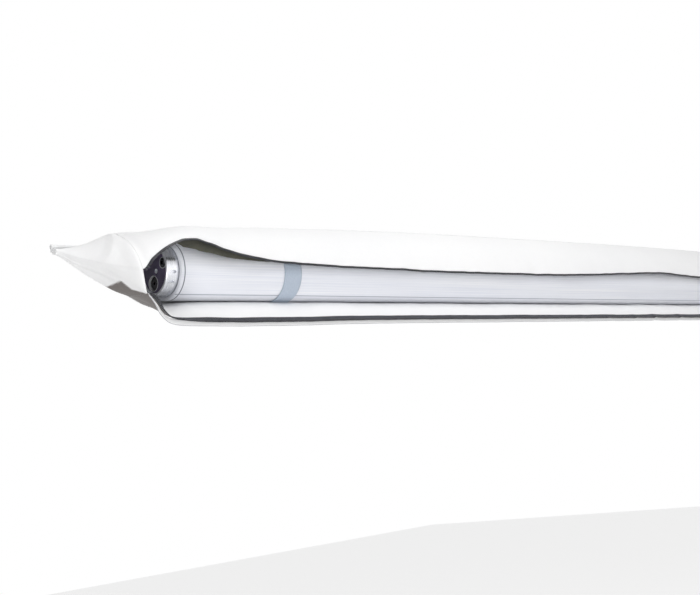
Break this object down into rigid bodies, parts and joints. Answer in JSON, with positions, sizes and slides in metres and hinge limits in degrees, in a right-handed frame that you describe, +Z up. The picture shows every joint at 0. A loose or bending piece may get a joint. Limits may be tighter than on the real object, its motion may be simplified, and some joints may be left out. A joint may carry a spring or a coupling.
{
  "type": "roll out awning",
  "caption": "Awning for a caravan wall: a white zip bag on a keder bead holds a cloth roll whose tube stores the legs and rafters.",
  "frame": {"origin": "centre of the keder bead, half way along the awning", "axes": "+X along the awning to the right as seen from outside, +Y into the wall that carries it, +Z up"},
  "size_m": [2.684, 0.1428, 0.1903],
  "materials": {
    "bag_vinyl": "semi-gloss coated cloth, white outside and pale grey inside",
    "awning_cloth": "white coated cloth with fine lengthwise streaks",
    "strap_web": "pale blue-grey webbing",
    "zip_black": "black woven zip tape",
    "zip_teeth": "black moulded teeth",
    "zip_metal": "dark painted slider",
    "keder_cord": "white vinyl bead",
    "alloy": "satin anodised",
    "ring_alloy": "turned, satin",
    "bright_steel": "bright plated",
    "hub_plastic": "dark purple-grey moulding",
    "black_plastic": "black moulding",
    "grey_plastic": "mid grey moulding",
    "white_plastic": "white moulding"
  },
  "bodies": {
    "bag": {"rail_keder": "keder_cord", "bag_back_panel": "bag_vinyl", "bag_top_panel": "bag_vinyl", "bag_upper_flap": "bag_vinyl", "bag_bottom_panel": "bag_vinyl", "bag_hem": "bag_vinyl", "bag_end_left": "bag_vinyl", "bag_end_right": "bag_vinyl", "zip_tape_upper": "zip_black", "zip_tape_lower": "zip_black", "zip_coil_upper": "zip_teeth", "zip_coil_lower": "zip_teeth", "cloth_leader": "awning_cloth"},
    "carriage": {"spine_tube": "alloy", "centre_bulkhead": "grey_plastic", "hub_screws": "bright_steel", "hub_left": "hub_plastic", "hub_bush_left": "black_plastic", "leg_liner_left": "bright_steel", "rafter_ferrule_left": "bright_steel", "hub_right": "hub_plastic", "hub_bush_right": "black_plastic", "leg_liner_right": "bright_steel", "rafter_ferrule_right": "bright_steel"},
    "roller": {"roller_tube": "alloy", "cloth_roll": "awning_cloth", "end_ring_left": "ring_alloy", "strap_left": "strap_web", "end_ring_right": "ring_alloy", "strap_right": "strap_web"},
    "leg_left": {"leg_outer_left": "alloy", "leg_plug_left": "grey_plastic"},
    "leg_grip_left": {"leg_collar_left": "grey_plastic"},
    "leg_extension_left": {"leg_inner_left": "alloy", "leg_foot_left": "white_plastic"},
    "rafter_left": {"rafter_outer_left": "alloy", "rafter_plug_left": "grey_plastic"},
    "rafter_grip_left": {"rafter_collar_left": "grey_plastic"},
    "rafter_extension_left": {"rafter_inner_left": "alloy", "rafter_tip_left": "black_plastic"},
    "leg_right": {"leg_outer_right": "alloy", "leg_plug_right": "grey_plastic"},
    "leg_grip_right": {"leg_collar_right": "grey_plastic"},
    "leg_extension_right": {"leg_inner_right": "alloy", "leg_foot_right": "white_plastic"},
    "rafter_right": {"rafter_outer_right": "alloy", "rafter_plug_right": "grey_plastic"},
    "rafter_grip_right": {"rafter_collar_right": "grey_plastic"},
    "rafter_extension_right": {"rafter_inner_right": "alloy", "rafter_tip_right": "black_plastic"},
    "zip_runner": {"zip_slider": "zip_metal"},
    "zip_tab": {"zip_pull": "zip_metal"}
  },
  "joints": [
    {"name": "roll_out", "type": "slide", "parent": "bag", "child": "carriage", "axis": [0, -1, 0], "range_m": [0, 2.2], "deforming": ["bag_upper_flap", "zip_tape_upper", "zip_coil_upper", "cloth_leader"]},
    {"name": "roll_spin", "type": "hinge", "parent": "carriage", "child": "roller", "pos_m": [0, -0.062, -0.048], "axis": [1, 0, 0], "range_deg": [-2630, 0]},
    {"name": "leg_draw_left", "type": "slide", "parent": "carriage", "child": "leg_left", "axis": [-1, 0, 0], "range_m": [0, 0.882]},
    {"name": "leg_extend_left", "type": "slide", "parent": "leg_left", "child": "leg_extension_left", "axis": [-1, 0, 0], "range_m": [0, 0.75]},
    {"name": "leg_grip_turn_left", "type": "hinge", "parent": "leg_left", "child": "leg_grip_left", "pos_m": [-1.157, -0.0515, -0.0665], "axis": [-1, 0, 0], "range_deg": [0, 90]},
    {"name": "rafter_draw_left", "type": "slide", "parent": "carriage", "child": "rafter_left", "axis": [-1, 0, 0], "range_m": [0, 0.794]},
    {"name": "rafter_extend_left", "type": "slide", "parent": "rafter_left", "child": "rafter_extension_left", "axis": [-1, 0, 0], "range_m": [0, 0.904]},
    {"name": "rafter_grip_turn_left", "type": "hinge", "parent": "rafter_left", "child": "rafter_grip_left", "pos_m": [-1.151, -0.084, -0.0385], "axis": [-1, 0, 0], "range_deg": [0, 90]},
    {"name": "leg_draw_right", "type": "slide", "parent": "carriage", "child": "leg_right", "axis": [1, 0, 0], "range_m": [0, 0.882]},
    {"name": "leg_extend_right", "type": "slide", "parent": "leg_right", "child": "leg_extension_right", "axis": [1, 0, 0], "range_m": [0, 0.75]},
    {"name": "leg_grip_turn_right", "type": "hinge", "parent": "leg_right", "child": "leg_grip_right", "pos_m": [1.157, -0.0515, -0.0665], "axis": [1, 0, 0], "range_deg": [0, 90]},
    {"name": "rafter_draw_right", "type": "slide", "parent": "carriage", "child": "rafter_right", "axis": [1, 0, 0], "range_m": [0, 0.794]},
    {"name": "rafter_extend_right", "type": "slide", "parent": "rafter_right", "child": "rafter_extension_right", "axis": [1, 0, 0], "range_m": [0, 0.904]},
    {"name": "rafter_grip_turn_right", "type": "hinge", "parent": "rafter_right", "child": "rafter_grip_right", "pos_m": [1.151, -0.084, -0.0385], "axis": [1, 0, 0], "range_deg": [0, 90]},
    {"name": "zip_run", "type": "slide", "parent": "bag", "child": "zip_runner", "axis": [-1, 0, 0], "range_m": [0, 2.34]},
    {"name": "zip_pull_swing", "type": "hinge", "parent": "zip_runner", "child": "zip_tab", "pos_m": [1.1775, -0.13697, -0.13526], "axis": [0, 0.8012, 0.5984], "range_deg": [0, 175]}
  ],
  "couplings": [
    {"joint": "roll_spin", "follows": "roll_out", "rad_per_m": -20.833},
    {"joint": "leg_draw_left", "follows": "roll_out", "ratio": 0.4},
    {"joint": "leg_extend_left", "follows": "roll_out", "ratio": 0.34},
    {"joint": "rafter_draw_left", "follows": "roll_out", "ratio": 0.36},
    {"joint": "rafter_extend_left", "follows": "roll_out", "ratio": 0.41},
    {"joint": "leg_draw_right", "follows": "roll_out", "ratio": 0.4},
    {"joint": "leg_extend_right", "follows": "roll_out", "ratio": 0.34},
    {"joint": "rafter_draw_right", "follows": "roll_out", "ratio": 0.36},
    {"joint": "rafter_extend_right", "follows": "roll_out", "ratio": 0.41}
  ]
}
